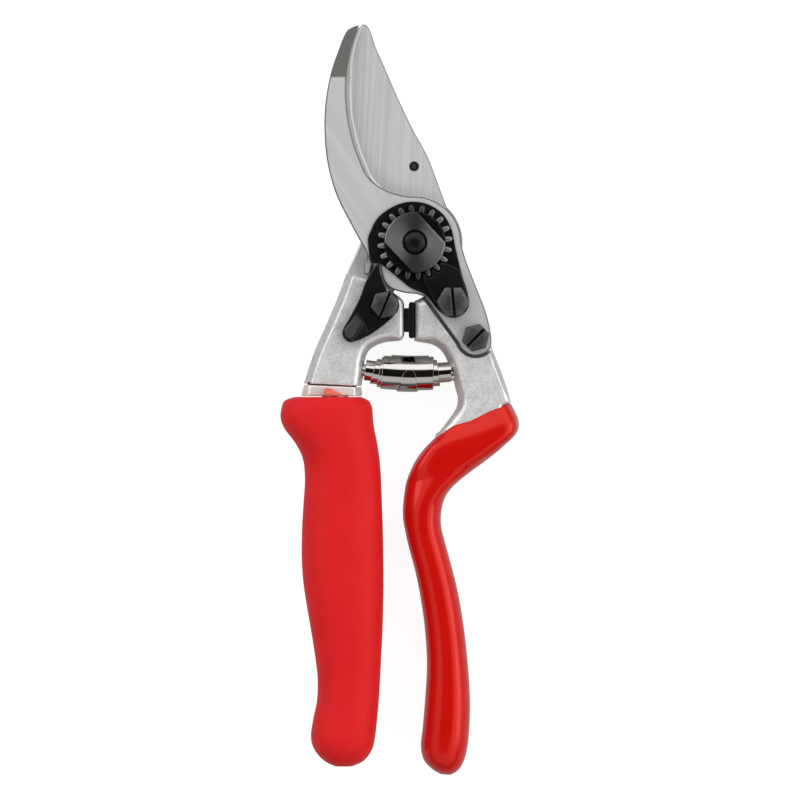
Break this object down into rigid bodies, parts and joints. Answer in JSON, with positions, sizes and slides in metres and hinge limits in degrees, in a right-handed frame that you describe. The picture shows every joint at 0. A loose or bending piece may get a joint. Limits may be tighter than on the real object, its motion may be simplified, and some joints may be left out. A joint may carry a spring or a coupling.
{
  "type": "bypass pruning shears",
  "caption": "Bypass pruning shears with a hooked counter blade, a toothed pivot nut with lock, a thumb catch, a volute spring and a rotating left grip.",
  "frame": {"origin": "on the blade pivot's axis, at the back face of the pivot bolt's head, which is the plane the shears lie on", "axes": "+Y from the pivot to the blade tips, +Z from the bolt head to the nut, +X to the side of the fixed grip"},
  "size_m": [0.0666, 0.2102, 0.0227],
  "materials": {
    "forged_aluminium": "satin, shot-blasted forging",
    "blade_steel": "ground and brushed",
    "dark_steel": "satin",
    "bronze": "plain bearing bronze",
    "blackened_steel": "blackened, satin",
    "black_plate": "blackened, semi-gloss",
    "spring_steel": "bright",
    "chromed_spring": "polished",
    "axle_steel": "ground",
    "black_rubber": "matt",
    "red_coat": "glossy dipped vinyl",
    "red_grip": "satin moulded",
    "orange_nylon": "moulded nylon"
  },
  "bodies": {
    "left_body": {"left_handle": "forged_aluminium", "cutting_blade": "blade_steel", "blade_pin": "dark_steel", "heel_rivet": "dark_steel", "pivot_bush": "bronze", "catch_screw": "blackened_steel", "catch_washer": "spring_steel", "left_buffer": "black_rubber", "left_spring_stud": "spring_steel", "volute_spring": "chromed_spring", "grip_axle": "axle_steel", "axle_collar": "forged_aluminium", "stop_lug": "orange_nylon", "axle_end_screw": "axle_steel", "axle_washer": "axle_steel"},
    "right_body": {"right_handle": "forged_aluminium", "counter_blade": "blade_steel", "right_grip": "red_coat", "pivot_bolt": "blackened_steel", "toothed_nut": "blackened_steel", "locking_plate": "black_plate", "toothed_segment": "black_plate", "segment_screw": "blackened_steel", "tang_screw": "blackened_steel", "right_buffer": "black_rubber", "right_spring_stud": "spring_steel"},
    "catch": {"catch_lever": "black_plate"},
    "grip": {"rotating_grip": "red_grip", "upper_bush": "orange_nylon", "lower_bush": "orange_nylon", "grip_end_plug": "red_grip"}
  },
  "joints": [
    {"name": "blade_pivot", "type": "hinge", "parent": "left_body", "child": "right_body", "pos_m": [0, 0, 0.012], "axis": [0, 0, 1], "range_deg": [0, 38], "deforming": ["volute_spring"]},
    {"name": "catch_pivot", "type": "hinge", "parent": "left_body", "child": "catch", "pos_m": [-0.0083, -0.0174, 0.018], "axis": [0, 0, 1], "range_deg": [0, 30]},
    {"name": "grip_spin", "type": "hinge", "parent": "left_body", "child": "grip", "pos_m": [-0.0226, -0.043, 0.0103], "axis": [0.0319, -0.9995, 0], "range_deg": [-40, 40]}
  ]
}
